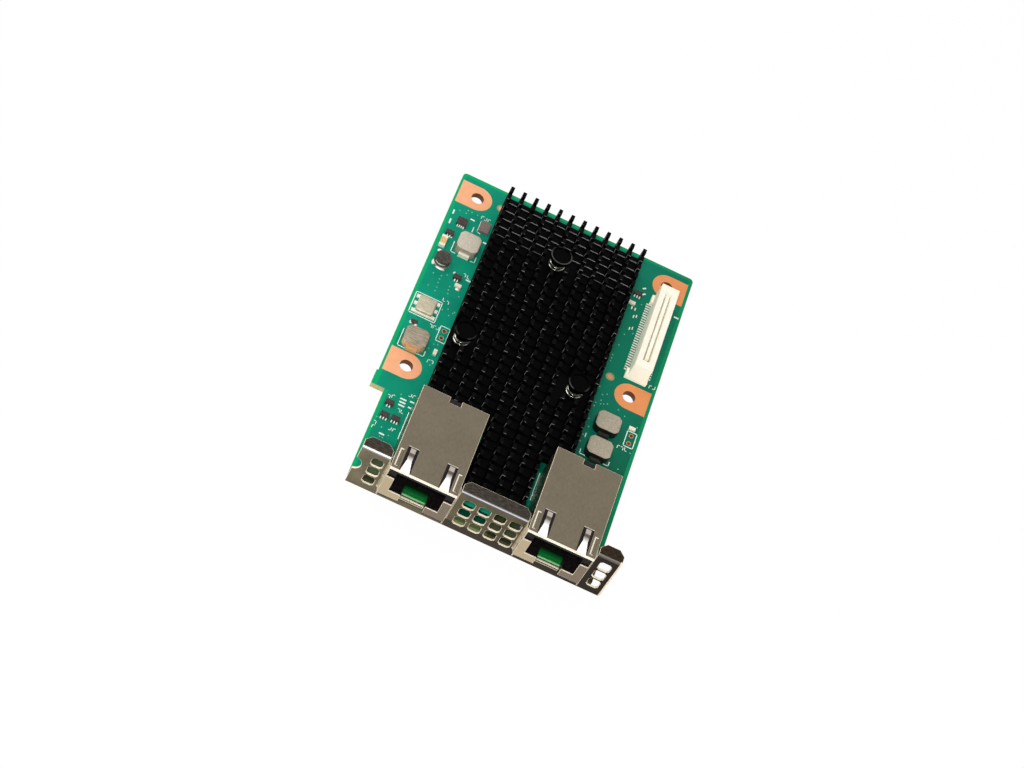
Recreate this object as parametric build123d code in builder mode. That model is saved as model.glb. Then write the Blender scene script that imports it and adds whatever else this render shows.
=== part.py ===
from build123d import *
import os
from math import ceil, cos, floor, sin, tau

# Mezzanine network card: a small server board with two network ports, a pin-fin heatsink, a stamped
# faceplate and a board-to-board connector.
# Millimetres, +Z up, ports towards -Y. The origin is under the middle of the card, on the plane that the
# faceplate's lower edge and the push pins' barbs rest on.

# Heatsink: a base plate with rows of pins on low cross ribs, and a narrow tongue between the ports
fin_columns = 12
fin_rows = 25
fin_pitch_x = 3.19
fin_pitch_y = 2.67
fin_width = 0.9
fin_length = 1.5
fin_height = 4.6
sink_base = 1.5
sink_front_lip = 1.1
cross_rib_height = 0.4
tongue_clearance = 1.0
tongue_rows = 7
tongue_front_lip = 0.3

# Controller under the heatsink
chip_side = 25.0
chip_height = 1.9
chip_chamfer = 0.6
chip_from_rear = 38.0
thermal_pad_thickness = 0.6
thermal_pad_border = 2.5

# Push pins that hold the heatsink, placed in fin columns and rows
push_pin_spots = ((5.25, 4.75), (0.8, 17.0), (9.75, 17.0))
push_pin_pocket = 3.1
push_pin_head_radius = 2.65
push_pin_head_height = 1.0
push_pin_rim = 0.3
push_pin_dish = 0.3
push_pin_rise = 0.2
push_pin_shaft_radius = 1.3
push_pin_shaft_sides = 8
push_pin_clearance = 0.25
barb_radius = 1.9
barb_tip_radius = 0.8
spring_radius = 1.95
spring_wire = 0.44
spring_turns = 3
spring_sides = 8
spring_end_gap = 0.25

# Circuit board
board_thickness = 1.6
stand_height = 1.6
rear_margin = 5.3
left_margin = 11.41
right_margin = 14.61
left_step = 2.95
left_step_length = 24.6
tab_reach = 0.4
tab_length = 4.1
rear_corner_radius = 1.0

# Mounting holes and the bare copper round them
hole_radius = 1.6
hole_from_left = 5.43
hole_from_right = 5.75
rear_hole_from_rear = 5.94
left_hole_from_rear = 61.3
right_hole_gap = 0.98
pad_radius = 3.67
pad_thickness = 0.05
left_pad_border = 0.55
right_pad_border = 0.85
pad_hole_relief = 0.15

# Network ports
jack_width = 16.0
jack_depth = 24.1
jack_height = 11.5
jack_from_left = 10.14
jack_from_right = 3.07
jack_gap = 0.8
jack_reach = 2.0
shield_sheet = 0.3
port_rim = 0.6
plug_width = 11.7
plug_height = 6.8
plug_roof = 1.6
plug_depth = 14.0
latch_width = 5.9
latch_depth = 9.0
latch_window = 3.4
latch_sill = 0.6
led_drop = 3.7
led_width = 1.75
led_depth = 5.0
led_recess = 0.2
contact_count = 8
contact_pitch = 1.02
contact_width = 0.35
contact_drop = 2.2
contact_front = 4.0
shield_front_gap = 0.7
finger_from_middle = 4.65
finger_length = 6.8
finger_neck_width = 1.25
finger_front_width = 2.4
finger_flare = 3.3
finger_slot_width = 2.5
finger_slot_gap = 0.45
finger_lift = 0.5
finger_end = 1.5
rib_length = 4.8
rib_width = 0.75
rib_height = 0.15
rib_from_side = 1.1
rear_cut_width = 2.8
rear_cut_depth = 1.6
rear_cut_drop = 1.5
post_width = 1.4
post_slot_clearance = 0.2
post_from_end = 6.0
tail_count = 5
tail_pitch = 2.04
tail_stagger = 0.51
tail_side = 0.5
tail_clearance = 0.15
tail_below = 1.2
tail_rows = (3.2, 5.74)

# Faceplate
plate_thickness = 0.5
plate_from_left = 3.0
plate_overhang = 3.0
plate_jack_clearance = 0.4
plate_strip_clearance = 0.15
plate_fold_radius = 0.8
flange_depth = 3.4
flange_chamfer = 1.3
vent_height = 3.0
vent_corner = 0.5
vent_bar = 1.0
vent_border = 0.6
vent_pitch_z = 3.55
vent_drop = 3.75
vent_shift = 0.5
vent_rows = 3
middle_vents = 4
side_notch_depth = 1.6
side_notch_height = 4.4
side_notch_middle = 4.6

# Board-to-board connector
connector_from_right = 5.72
connector_from_rear = 11.0
connector_length = 26.4
connector_width = 4.55
connector_height = 6.6
connector_foot_width = 5.7
connector_foot_length = 2.3
connector_foot_height = 1.4
connector_slot_width = 1.6
connector_slot_end = 2.0
connector_slot_depth = 4.2
connector_tongue_width = 0.9
connector_tongue_drop = 0.2
lead_pitch = 0.76
lead_width = 0.32
lead_reach = 1.15
lead_thickness = 0.18
lead_rise = 0.9

# Chip inductors
rear_coil_at = (7.6, 21.7)
rear_coil_size = (5.5, 5.6, 2.6)
front_coil_at = (4.9, 54.0)
front_coil_size = (5.75, 5.2, 2.5)
side_coil_from_right = 8.65
side_coil_from_hole = 11.15
side_coil_pitch = 7.7
side_coil_size = (6.0, 5.2, 2.65)
coil_corner = 0.9
coil_edge = 0.25
coil_terminal_width = 2.7
coil_terminal_reach = 0.75
coil_terminal_height = 1.1
drum_at = (3.45, 28.95)
drum_radius = 1.97
drum_height = 2.1
drum_waist = 0.35
drum_flange = 0.55

# Oscillator
oscillator_at = (4.2, 43.55)
oscillator_base_length = 5.3
oscillator_base_height = 0.45
oscillator_can_size = (4.4, 4.75, 0.85)
oscillator_can_corner = 0.4
oscillator_pad_size = (0.75, 0.95, 0.3)
oscillator_pad_pitch = 2.2
oscillator_pads_per_side = 3

# Leaded chips
chip_lead_width = 0.28
chip_lead_reach = 0.5
chip_lead_thickness = 0.15
chip_lead_rise = 0.45
regulator_at = (4.2, 15.25)
regulator_size = (2.5, 2.2, 0.9)
regulator_lead_pitch = 0.5
converter_at = (9.65, 13.9)
converter_size = (2.5, 3.3, 0.8)
small_chip_size = (2.0, 1.25, 0.9)
small_chip_lead_pitch = 0.65
diode_at = (2.5, 19.9)
transistor_at = (8.27, 31.55)
guard_chips_at = ((5.2, 73.1), (5.25, 76.75), (7.85, 76.55))
sense_chip_from_right = 11.9
sense_chip_from_rear = 12.0

# Chip capacitors, as length, width and height
end_cap_share = 0.22
bulk_capacitor_at = (1.83, 23.15)
bulk_capacitor_size = (3.4, 1.5, 0.9)
small_capacitor_size = (1.6, 0.85, 0.6)
left_capacitor_at = (9.2, 33.7)
filter_capacitor_at = (10.25, 54.6)
side_capacitor_from_right = 2.65
side_capacitor_from_hole = 8.55
sense_capacitor_from_right = 12.55
sense_capacitor_from_rear = 15.4

# Overall sizes that follow from the pieces
sink_width = (fin_columns - 1) * fin_pitch_x + fin_width
sink_length = (fin_rows - 1) * fin_pitch_y + fin_length + sink_front_lip
board_width = left_margin + sink_width + right_margin
left_jack_right = jack_from_left + jack_width
right_jack_left = board_width - jack_from_right - jack_width
tongue_first_column = ceil((left_jack_right + tongue_clearance - left_margin) / fin_pitch_x)
tongue_last_column = floor((right_jack_left - tongue_clearance - fin_width - left_margin) / fin_pitch_x)
jack_from_rear = rear_margin + sink_length + jack_gap
board_length = jack_from_rear + jack_depth - jack_reach - plate_thickness
overall_width = tab_reach + board_width + plate_overhang
overall_depth = jack_from_rear + jack_depth
board_left = tab_reach - overall_width / 2
board_right = board_left + board_width
board_rear = overall_depth / 2
board_front = board_rear - board_length
board_top = stand_height + board_thickness
jack_front = board_rear - jack_from_rear - jack_depth
jack_rear = jack_front + jack_depth
jack_top = board_top + jack_height
plug_top = jack_height - plug_roof
plug_floor = plug_top - plug_height
contact_low = plug_top - contact_drop
led_floor = jack_height - led_drop
left_jack_middle = board_left + jack_from_left + jack_width / 2
right_jack_middle = board_right - jack_from_right - jack_width / 2
jack_middles = {"left": left_jack_middle, "right": right_jack_middle}
sink_left = board_left + left_margin
sink_rear = board_rear - rear_margin
sink_bottom = board_top + chip_height + thermal_pad_thickness
sink_floor = sink_bottom + sink_base
fin_top = sink_floor + fin_height
pin_hole_radius = push_pin_shaft_radius + push_pin_clearance
right_hole_from_rear = connector_from_rear + connector_length + right_hole_gap + pad_radius
lead_span = connector_length - 2 * connector_foot_length - lead_width
lead_count = floor(lead_span / lead_pitch) + 1

BOTTOM = (Align.CENTER, Align.CENTER, Align.MIN)
TOP = (Align.CENTER, Align.CENTER, Align.MAX)


def spot(from_left, from_rear):
    """A point on the board, measured from its left and rear edges."""
    return (board_left + from_left, board_rear - from_rear)


def right_spot(from_right, from_rear):
    """A point on the board, measured from its right and rear edges."""
    return (board_right - from_right, board_rear - from_rear)


def fin_spot(column, row):
    """The middle of a pin of the heatsink."""
    x = sink_left + fin_width / 2 + column * fin_pitch_x
    y = sink_rear - fin_length / 2 - row * fin_pitch_y
    return (x, y)


def save(builder, name):
    """Labels a finished piece and writes its file."""
    builder.part.label = name
    export_step(builder.part, f"parts/{name}.step")


def front_plane(y):
    """A plane that faces the ports' side, with X to the right and Z up."""
    return Plane.XZ.offset(-y)


os.makedirs("parts", exist_ok=True)

push_pins_at = [fin_spot(column, row) for column, row in push_pin_spots]
left_holes = [spot(hole_from_left, rear_hole_from_rear), spot(hole_from_left, left_hole_from_rear)]
right_holes = [right_spot(hole_from_right, rear_hole_from_rear),
               right_spot(hole_from_right, right_hole_from_rear)]
tail_spots = [((index - (tail_count - 1) / 2) * tail_pitch + (-1) ** row * tail_stagger,
               jack_rear - shield_sheet - from_rear)
              for row, from_rear in enumerate(tail_rows)
              for index in range(tail_count)]
post_spots = [(side * (jack_width - shield_sheet) / 2, y)
              for side in (-1, 1)
              for y in (jack_rear - post_from_end, board_front + post_from_end)]

# Circuit board
with BuildPart() as circuit_board:
    with BuildSketch(Plane.XY.offset(stand_height)):
        step_y = board_front + left_step_length
        with BuildLine():
            Polyline(
                (board_left, board_rear),
                (board_right, board_rear),
                (board_right, board_front),
                (board_left + left_step, board_front),
                (board_left + left_step, step_y),
                (board_left - tab_reach, step_y),
                (board_left - tab_reach, step_y + tab_length),
                (board_left, step_y + tab_length),
                close=True,
            )
        make_face()
        fillet(vertices().group_by(Axis.Y)[-1], rear_corner_radius)
        with Locations(*left_holes, *right_holes):
            Circle(hole_radius, mode=Mode.SUBTRACT)
        with Locations(*push_pins_at):
            RegularPolygon(pin_hole_radius, push_pin_shaft_sides, mode=Mode.SUBTRACT)
        tail_hole = tail_side + 2 * tail_clearance
        for middle in jack_middles.values():
            with Locations(*[(middle + x, y) for x, y in tail_spots]):
                Rectangle(tail_hole, tail_hole, mode=Mode.SUBTRACT)
            with Locations(*[(middle + x, y) for x, y in post_spots]):
                Rectangle(shield_sheet + 2 * post_slot_clearance, post_width + 2 * post_slot_clearance,
                          mode=Mode.SUBTRACT)
    extrude(amount=board_thickness)
save(circuit_board, "circuit_board")

# Bare copper round the mounting holes, rounded towards the middle of the board
with BuildPart() as mounting_pads:
    with BuildSketch(Plane.XY.offset(board_top)):
        with Locations(*left_holes, *right_holes):
            Circle(pad_radius)
        left_reach = hole_from_left - left_pad_border
        with Locations(*left_holes):
            Rectangle(left_reach, 2 * pad_radius, align=(Align.MAX, Align.CENTER))
        right_reach = hole_from_right - right_pad_border
        with Locations(*right_holes):
            Rectangle(right_reach, 2 * pad_radius, align=(Align.MIN, Align.CENTER))
        with Locations(*left_holes, *right_holes):
            Circle(hole_radius + pad_hole_relief, mode=Mode.SUBTRACT)
    extrude(amount=pad_thickness)
save(mounting_pads, "mounting_pads")

# Controller and the pad that carries its heat to the heatsink
chip_middle = (sink_left + sink_width / 2, board_rear - chip_from_rear)
with BuildPart() as controller_chip:
    with Locations((*chip_middle, board_top)):
        Box(chip_side, chip_side, chip_height, align=BOTTOM)
    chamfer(controller_chip.edges().group_by(Axis.Z)[-1], chip_chamfer)
save(controller_chip, "controller_chip")

with BuildPart() as thermal_pad:
    with Locations((*chip_middle, board_top + chip_height)):
        pad_side = chip_side - 2 * thermal_pad_border
        Box(pad_side, pad_side, thermal_pad_thickness, align=BOTTOM)
save(thermal_pad, "thermal_pad")

# Heatsink
tongue_left = fin_spot(tongue_first_column, 0)[0] - fin_width / 2
tongue_width = (tongue_last_column - tongue_first_column) * fin_pitch_x + fin_width
tongue_front = fin_spot(0, fin_rows + tongue_rows - 1)[1] - fin_length / 2 - tongue_front_lip


def has_fin(column, row):
    """Whether a pin stands here: all over the wide part and the tongue, but not in a pocket."""
    x, y = fin_spot(column, row)
    on_tongue = tongue_first_column <= column <= tongue_last_column
    for pin_x, pin_y in push_pins_at:
        gap_x = max(abs(x - pin_x) - fin_width / 2, 0)
        gap_y = max(abs(y - pin_y) - fin_length / 2, 0)
        if gap_x ** 2 + gap_y ** 2 < push_pin_pocket ** 2:
            return False
    return row < fin_rows or on_tongue


fin_cells = [(column, row)
             for column in range(fin_columns)
             for row in range(fin_rows + tongue_rows)
             if has_fin(column, row)]
fin_spots = [fin_spot(*cell) for cell in fin_cells]
cross_rib_spots = [fin_spot(column + 1 / 2, row)
                   for column, row in fin_cells
                   if (column + 1, row) in fin_cells]

with BuildPart() as heatsink:
    with BuildSketch(Plane.XY.offset(sink_bottom)):
        with Locations((sink_left, sink_rear)):
            Rectangle(sink_width, sink_length, align=(Align.MIN, Align.MAX))
        with Locations((tongue_left, sink_rear)):
            Rectangle(tongue_width, sink_rear - tongue_front, align=(Align.MIN, Align.MAX))
        with Locations(*push_pins_at):
            RegularPolygon(pin_hole_radius, push_pin_shaft_sides, mode=Mode.SUBTRACT)
    extrude(amount=sink_base)
    with BuildSketch(Plane.XY.offset(sink_floor)):
        with Locations(*cross_rib_spots):
            Rectangle(fin_pitch_x, fin_length)
    extrude(amount=cross_rib_height)
    with BuildSketch(Plane.XY.offset(sink_floor)):
        with Locations(*fin_spots):
            Rectangle(fin_width, fin_length)
    extrude(amount=fin_height)
save(heatsink, "heatsink")

# Push pins: barbed tips, eight-sided shafts and round, dished heads
head_top = fin_top + push_pin_rise
head_bottom = head_top - push_pin_head_height
with BuildPart() as push_pins:
    for pin_x, pin_y in push_pins_at:
        for z, radius in ((0, barb_tip_radius), (stand_height, barb_radius)):
            with BuildSketch(Plane.XY.offset(z)):
                with Locations((pin_x, pin_y)):
                    RegularPolygon(radius, push_pin_shaft_sides)
        loft(ruled=True)
        with BuildSketch(Plane.XY.offset(stand_height)):
            with Locations((pin_x, pin_y)):
                RegularPolygon(push_pin_shaft_radius, push_pin_shaft_sides)
        extrude(amount=head_bottom - stand_height)
        with BuildSketch(Plane((pin_x, pin_y, 0), x_dir=(1, 0, 0), z_dir=(0, -1, 0))):
            with BuildLine():
                Polyline(
                    (0, head_bottom),
                    (push_pin_head_radius, head_bottom),
                    (push_pin_head_radius, head_top),
                    (push_pin_head_radius - push_pin_rim, head_top),
                    (push_pin_head_radius - push_pin_rim, head_top - push_pin_dish),
                    (0, head_top - push_pin_dish),
                    close=True,
                )
            make_face()
        revolve(axis=Axis((pin_x, pin_y, 0), (0, 0, 1)))
save(push_pins, "push_pins")

# Springs under the heads: square wire, wound in straight sides so that each coil stays light to draw
spring_bottom = sink_floor + spring_end_gap
spring_height = head_bottom - spring_end_gap - spring_bottom
spring_steps = spring_turns * spring_sides


def spring_point(pin_x, pin_y, step):
    """A corner of a spring's winding."""
    angle = tau * step / spring_sides
    rise = spring_height * step / spring_steps
    return (pin_x + spring_radius * cos(angle), pin_y + spring_radius * sin(angle), spring_bottom + rise)


with BuildPart() as push_pin_springs:
    for pin_x, pin_y in push_pins_at:
        with BuildLine() as winding:
            Polyline(*[spring_point(pin_x, pin_y, step) for step in range(spring_steps + 1)])
        with BuildSketch(Plane(winding.line @ 0, x_dir=(0, 0, 1), z_dir=winding.line % 0)):
            Rectangle(spring_wire, spring_wire)
        sweep(path=winding.line, transition=Transition.RIGHT)
save(push_pin_springs, "push_pin_springs")


def build_jack(side, middle):
    """One network port: shield with its spring fingers, housing, contacts, tails and lamps."""
    inner_width = jack_width - 2 * shield_sheet
    inner_rear = jack_rear - shield_sheet
    inner_front = jack_front + shield_sheet
    inner_top = jack_top - shield_sheet
    opening_top = jack_top - port_rim
    led_middle = (inner_width - led_width) / 2
    led_height = opening_top - board_top - led_floor

    with BuildPart() as fingers:
        with BuildSketch(Plane.YZ):
            end_y = jack_front + finger_length
            bend_y = end_y - finger_end
            with BuildLine():
                Polyline(
                    (inner_front, inner_top),
                    (bend_y, inner_top + finger_lift),
                    (end_y, inner_top + finger_lift / 2),
                    (end_y, jack_top + finger_lift / 2),
                    (bend_y, jack_top + finger_lift),
                    (inner_front, jack_top),
                    close=True,
                )
            make_face()
        extrude(amount=2 * overall_width, both=True)
        with BuildSketch(Plane.XY.offset(board_top)):
            for hand in (-1, 1):
                finger_x = middle + hand * finger_from_middle
                neck_y = inner_front + finger_flare
                with BuildLine():
                    Polyline(
                        (finger_x - finger_front_width / 2, inner_front),
                        (finger_x + finger_front_width / 2, inner_front),
                        (finger_x + finger_neck_width / 2, neck_y),
                        (finger_x + finger_neck_width / 2, end_y),
                        (finger_x - finger_neck_width / 2, end_y),
                        (finger_x - finger_neck_width / 2, neck_y),
                        close=True,
                    )
                make_face()
        extrude(amount=2 * jack_height, mode=Mode.INTERSECT)

    with BuildPart() as shield:
        with Locations((middle, (jack_front + jack_rear) / 2, board_top)):
            Box(jack_width, jack_depth, jack_height, align=BOTTOM)
            Box(inner_width, jack_depth - 2 * shield_sheet, jack_height - shield_sheet, align=BOTTOM,
                mode=Mode.SUBTRACT)
        with BuildSketch(front_plane(jack_front)):
            with Locations((middle, board_top + led_floor)):
                Rectangle(inner_width, led_height, align=(Align.CENTER, Align.MIN))
            with Locations((middle, board_top + plug_floor)):
                Rectangle(plug_width, opening_top - board_top - plug_floor, align=(Align.CENTER, Align.MIN))
            with Locations((middle, board_top)):
                Rectangle(latch_width, plug_floor, align=(Align.CENTER, Align.MIN))
                Rectangle(inner_width, shield_front_gap, align=(Align.CENTER, Align.MIN))
        extrude(amount=-shield_sheet, mode=Mode.SUBTRACT)
        with Locations((middle, jack_rear, jack_top)):
            Box(rear_cut_width, 2 * rear_cut_depth, 2 * rear_cut_drop, mode=Mode.SUBTRACT)
        with BuildSketch(Plane.XY.offset(inner_top)):
            slot_length = finger_length - shield_sheet + finger_slot_gap
            with Locations((middle, inner_front + slot_length / 2)):
                with GridLocations(2 * finger_from_middle, 0, 2, 1):
                    Rectangle(finger_slot_width, slot_length)
        extrude(amount=shield_sheet, mode=Mode.SUBTRACT)
        for x, y in post_spots:
            with Locations((middle + x, y, board_top)):
                Box(shield_sheet, post_width, board_thickness + tail_below, align=TOP)
        with Locations((middle, jack_front + finger_length / 2, jack_top)):
            with GridLocations(jack_width - 2 * rib_from_side, 0, 2, 1):
                Box(rib_width, rib_length, rib_height, align=BOTTOM)
        add(fingers.part)
    save(shield, f"{side}_jack_shield")

    with BuildPart() as housing:
        with Locations((middle, (inner_front + inner_rear) / 2, board_top)):
            Box(inner_width, inner_rear - inner_front, inner_top - board_top, align=BOTTOM)
        with BuildSketch(front_plane(inner_front)):
            with Locations((middle, board_top + plug_floor)):
                Rectangle(plug_width, plug_top - plug_floor, align=(Align.CENTER, Align.MIN))
        extrude(amount=-plug_depth, mode=Mode.SUBTRACT)
        with BuildSketch(front_plane(inner_front)):
            with Locations((middle, board_top)):
                Rectangle(latch_width, plug_floor, align=(Align.CENTER, Align.MIN))
        extrude(amount=-latch_window, mode=Mode.SUBTRACT)
        with BuildSketch(front_plane(inner_front)):
            with Locations((middle, board_top + latch_sill)):
                Rectangle(latch_width, plug_floor - latch_sill, align=(Align.CENTER, Align.MIN))
        extrude(amount=-latch_depth, mode=Mode.SUBTRACT)
        with BuildSketch(front_plane(inner_front)):
            for hand in (-1, 1):
                with Locations((middle + hand * led_middle, board_top + led_floor)):
                    Rectangle(led_width, led_height, align=(Align.CENTER, Align.MIN))
        extrude(amount=-led_depth, mode=Mode.SUBTRACT)
    save(housing, f"{side}_jack_housing")

    with BuildPart() as lamps:
        with BuildSketch(front_plane(inner_front + led_recess)):
            for hand in (-1, 1):
                with Locations((middle + hand * led_middle, board_top + led_floor)):
                    Rectangle(led_width, led_height, align=(Align.CENTER, Align.MIN))
        extrude(amount=led_recess - led_depth)
    save(lamps, f"{side}_jack_lamps")

    with BuildPart() as contacts:
        plug_rear = inner_front + plug_depth
        for index in range(contact_count):
            contact_x = middle + (index - (contact_count - 1) / 2) * contact_pitch
            with BuildSketch(Plane.YZ.offset(contact_x - contact_width / 2)):
                with BuildLine():
                    Polyline(
                        (plug_rear, board_top + contact_low),
                        (plug_rear, board_top + contact_low + 2 * contact_width),
                        (inner_front + contact_front + 2 * contact_width, board_top + plug_top),
                        (inner_front + contact_front, board_top + plug_top),
                        close=True,
                    )
                make_face()
            extrude(amount=contact_width)
    save(contacts, f"{side}_jack_contacts")

    with BuildPart() as tails:
        with Locations(*[(middle + x, y, board_top) for x, y in tail_spots]):
            Box(tail_side, tail_side, board_thickness + tail_below, align=TOP)
    save(tails, f"{side}_jack_tails")


for jack_side, jack_middle in jack_middles.items():
    build_jack(jack_side, jack_middle)

# Faceplate: one stamped sheet with three vented sections that fold back at the top
plate_left = board_left + plate_from_left
plate_right = board_right + plate_overhang
jack_half = jack_width / 2 + plate_jack_clearance
plate_sections = ((plate_left, left_jack_middle - jack_half),
                  (left_jack_middle + jack_half, right_jack_middle - jack_half),
                  (right_jack_middle + jack_half, plate_right))
strip_top = board_top - plate_strip_clearance
plate_front = board_front - plate_thickness
(_, left_end), (middle_start, middle_end), (right_start, right_end) = plate_sections
vent_pitch_x = (middle_end - middle_start - 2 * vent_border) / middle_vents
vent_width = vent_pitch_x - vent_bar
vents_start = middle_start + vent_border + vent_shift
vent_columns = [left_end - vent_width + vent_shift, (right_start + right_end) / 2]
vent_columns += [vents_start + (index + 1 / 2) * vent_pitch_x for index in range(middle_vents)]
with BuildPart() as faceplate:
    with BuildSketch(front_plane(board_front)):
        with Locations((plate_left, 0)):
            Rectangle(plate_right - plate_left, strip_top, align=(Align.MIN, Align.MIN))
        for section_left, section_right in plate_sections:
            with Locations((section_left, 0)):
                Rectangle(section_right - section_left, jack_top, align=(Align.MIN, Align.MIN))
        with Locations((plate_left, board_top + side_notch_middle)):
            Ellipse(side_notch_depth, side_notch_height / 2, mode=Mode.SUBTRACT)
    extrude(amount=plate_thickness)
    with BuildSketch(front_plane(board_front)) as vents:
        with Locations(*[(x, jack_top - vent_drop - row * vent_pitch_z)
                         for x in vent_columns for row in range(vent_rows)]):
            Rectangle(vent_width, vent_height)
        chamfer(vents.vertices(), vent_corner)
    extrude(amount=plate_thickness, mode=Mode.SUBTRACT)
    with BuildSketch(Plane.XY.offset(jack_top - plate_thickness)):
        for section_left, section_right in plate_sections:
            flange_rear = plate_front + flange_depth
            with BuildLine():
                Polyline(
                    (section_left, plate_front),
                    (section_right, plate_front),
                    (section_right, flange_rear - flange_chamfer),
                    (section_right - flange_chamfer, flange_rear),
                    (section_left + flange_chamfer, flange_rear),
                    (section_left, flange_rear - flange_chamfer),
                    close=True,
                )
            make_face()
    extrude(amount=plate_thickness)
    folds = faceplate.edges().filter_by(Axis.X).group_by(Axis.Z)[-1].group_by(Axis.Y)[0]
    fillet(folds, plate_fold_radius)
save(faceplate, "faceplate")

# Board-to-board connector
connector_middle = right_spot(connector_from_right, connector_from_rear + connector_length / 2)
connector_x, connector_y = connector_middle
connector_top = board_top + connector_height
waist_width = connector_width - 2 * lead_thickness
with BuildPart() as connector_housing:
    with Locations((connector_x, connector_y, board_top)):
        Box(waist_width, connector_length, lead_rise, align=BOTTOM)
    with Locations((connector_x, connector_y, board_top + lead_rise)):
        Box(connector_width, connector_length, connector_height - lead_rise, align=BOTTOM)
    with Locations((connector_x, connector_y, board_top)):
        with GridLocations(0, connector_length - connector_foot_length, 1, 2):
            Box(connector_foot_width, connector_foot_length, connector_foot_height, align=BOTTOM)
    slot_length = connector_length - 2 * connector_slot_end
    tongue_length = slot_length - connector_slot_width
    with BuildSketch(Plane.XY.offset(connector_top)):
        with Locations(connector_middle):
            Rectangle(connector_slot_width, slot_length)
            Rectangle(connector_tongue_width, tongue_length, mode=Mode.SUBTRACT)
    extrude(amount=-connector_slot_depth, mode=Mode.SUBTRACT)
    with BuildSketch(Plane.XY.offset(connector_top)):
        with Locations(connector_middle):
            Rectangle(connector_tongue_width, tongue_length)
    extrude(amount=-connector_tongue_drop, mode=Mode.SUBTRACT)
save(connector_housing, "connector_housing")

with BuildPart() as connector_leads:
    for hand in (-1, 1):
        lead_root = connector_x + hand * waist_width / 2
        foot_x = lead_root + hand * (lead_thickness + lead_reach) / 2
        riser_x = lead_root + hand * lead_thickness / 2
        with Locations((foot_x, connector_y, board_top)):
            with GridLocations(0, lead_pitch, 1, lead_count):
                Box(lead_thickness + lead_reach, lead_width, lead_thickness, align=BOTTOM)
        with Locations((riser_x, connector_y, board_top)):
            with GridLocations(0, lead_pitch, 1, lead_count):
                Box(lead_thickness, lead_width, lead_rise, align=BOTTOM)
save(connector_leads, "connector_leads")


def build_coil(name, places, size):
    """Moulded chip inductors with cut corners, and their solder terminals front and rear."""
    length_x, length_y, height = size
    with BuildPart() as body:
        with BuildSketch(Plane.XY.offset(board_top)) as outline:
            with Locations(*places):
                Rectangle(length_x, length_y)
            chamfer(outline.vertices(), coil_corner)
        extrude(amount=height)
        chamfer(body.edges().group_by(Axis.Z)[-1], coil_edge)
    save(body, name)
    with BuildPart() as terminals:
        for x, y in places:
            for hand in (-1, 1):
                with Locations((x, y + hand * (length_y + coil_terminal_reach) / 2, board_top)):
                    Box(coil_terminal_width, coil_terminal_reach, coil_terminal_height, align=BOTTOM)
    save(terminals, f"{name}_terminals")


build_coil("rear_coil", [spot(*rear_coil_at)], rear_coil_size)
build_coil("front_coil", [spot(*front_coil_at)], front_coil_size)
first_side_coil = right_hole_from_rear + side_coil_from_hole
side_coil_rows = (first_side_coil, first_side_coil + side_coil_pitch)
build_coil("side_coils", [right_spot(side_coil_from_right, y) for y in side_coil_rows], side_coil_size)

# Drum coil: two flanges on a narrower waist
with BuildPart() as drum_coil:
    drum_x, drum_y = spot(*drum_at)
    with BuildSketch(Plane((drum_x, drum_y, board_top), x_dir=(1, 0, 0), z_dir=(0, -1, 0))):
        with BuildLine():
            Polyline(
                (0, 0),
                (drum_radius, 0),
                (drum_radius, drum_flange),
                (drum_radius - drum_waist, drum_flange),
                (drum_radius - drum_waist, drum_height - drum_flange),
                (drum_radius, drum_height - drum_flange),
                (drum_radius, drum_height),
                (0, drum_height),
                close=True,
            )
        make_face()
    revolve(axis=Axis((drum_x, drum_y, 0), (0, 0, 1)))
save(drum_coil, "drum_coil")

# Oscillator: a metal can on a ceramic base, with a row of pads on each side
oscillator_x, oscillator_y = spot(*oscillator_at)
can_width, can_length, can_height = oscillator_can_size
with BuildPart() as oscillator_base:
    with Locations((oscillator_x, oscillator_y, board_top)):
        Box(can_width, oscillator_base_length, oscillator_base_height, align=BOTTOM)
save(oscillator_base, "oscillator_base")
with BuildPart() as oscillator_can:
    with BuildSketch(Plane.XY.offset(board_top + oscillator_base_height)) as can_outline:
        with Locations((oscillator_x, oscillator_y)):
            Rectangle(can_width, can_length)
        chamfer(can_outline.vertices(), oscillator_can_corner)
    extrude(amount=can_height)
    chamfer(oscillator_can.edges().group_by(Axis.Z)[-1], coil_edge)
save(oscillator_can, "oscillator_can")
with BuildPart() as oscillator_pads:
    for hand in (-1, 1):
        pad_x = oscillator_x + hand * (can_width + oscillator_pad_size[0]) / 2
        with Locations((pad_x, oscillator_y, board_top)):
            with GridLocations(0, oscillator_pad_pitch, 1, oscillator_pads_per_side):
                Box(*oscillator_pad_size, align=BOTTOM)
save(oscillator_pads, "oscillator_pads")


def build_chips(name, places, size, lead_rows, lead_pitch_x):
    """Small moulded chips, with their leads along the front and the rear."""
    length_x, length_y, height = size
    with BuildPart() as bodies:
        with Locations(*[(x, y, board_top) for x, y in places]):
            Box(length_x, length_y, height, align=BOTTOM)
    save(bodies, name)
    with BuildPart() as leads:
        for (x, y), rows in zip(places, lead_rows):
            for hand, count in zip((-1, 1), rows):
                foot = y + hand * (length_y + chip_lead_reach) / 2
                root = y + hand * (length_y + chip_lead_thickness) / 2
                with Locations((x, foot, board_top)):
                    with GridLocations(lead_pitch_x, 0, count, 1):
                        Box(chip_lead_width, chip_lead_reach, chip_lead_thickness, align=BOTTOM)
                with Locations((x, root, board_top)):
                    with GridLocations(lead_pitch_x, 0, count, 1):
                        Box(chip_lead_width, chip_lead_thickness, chip_lead_rise, align=BOTTOM)
    save(leads, f"{name}_leads")


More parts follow.
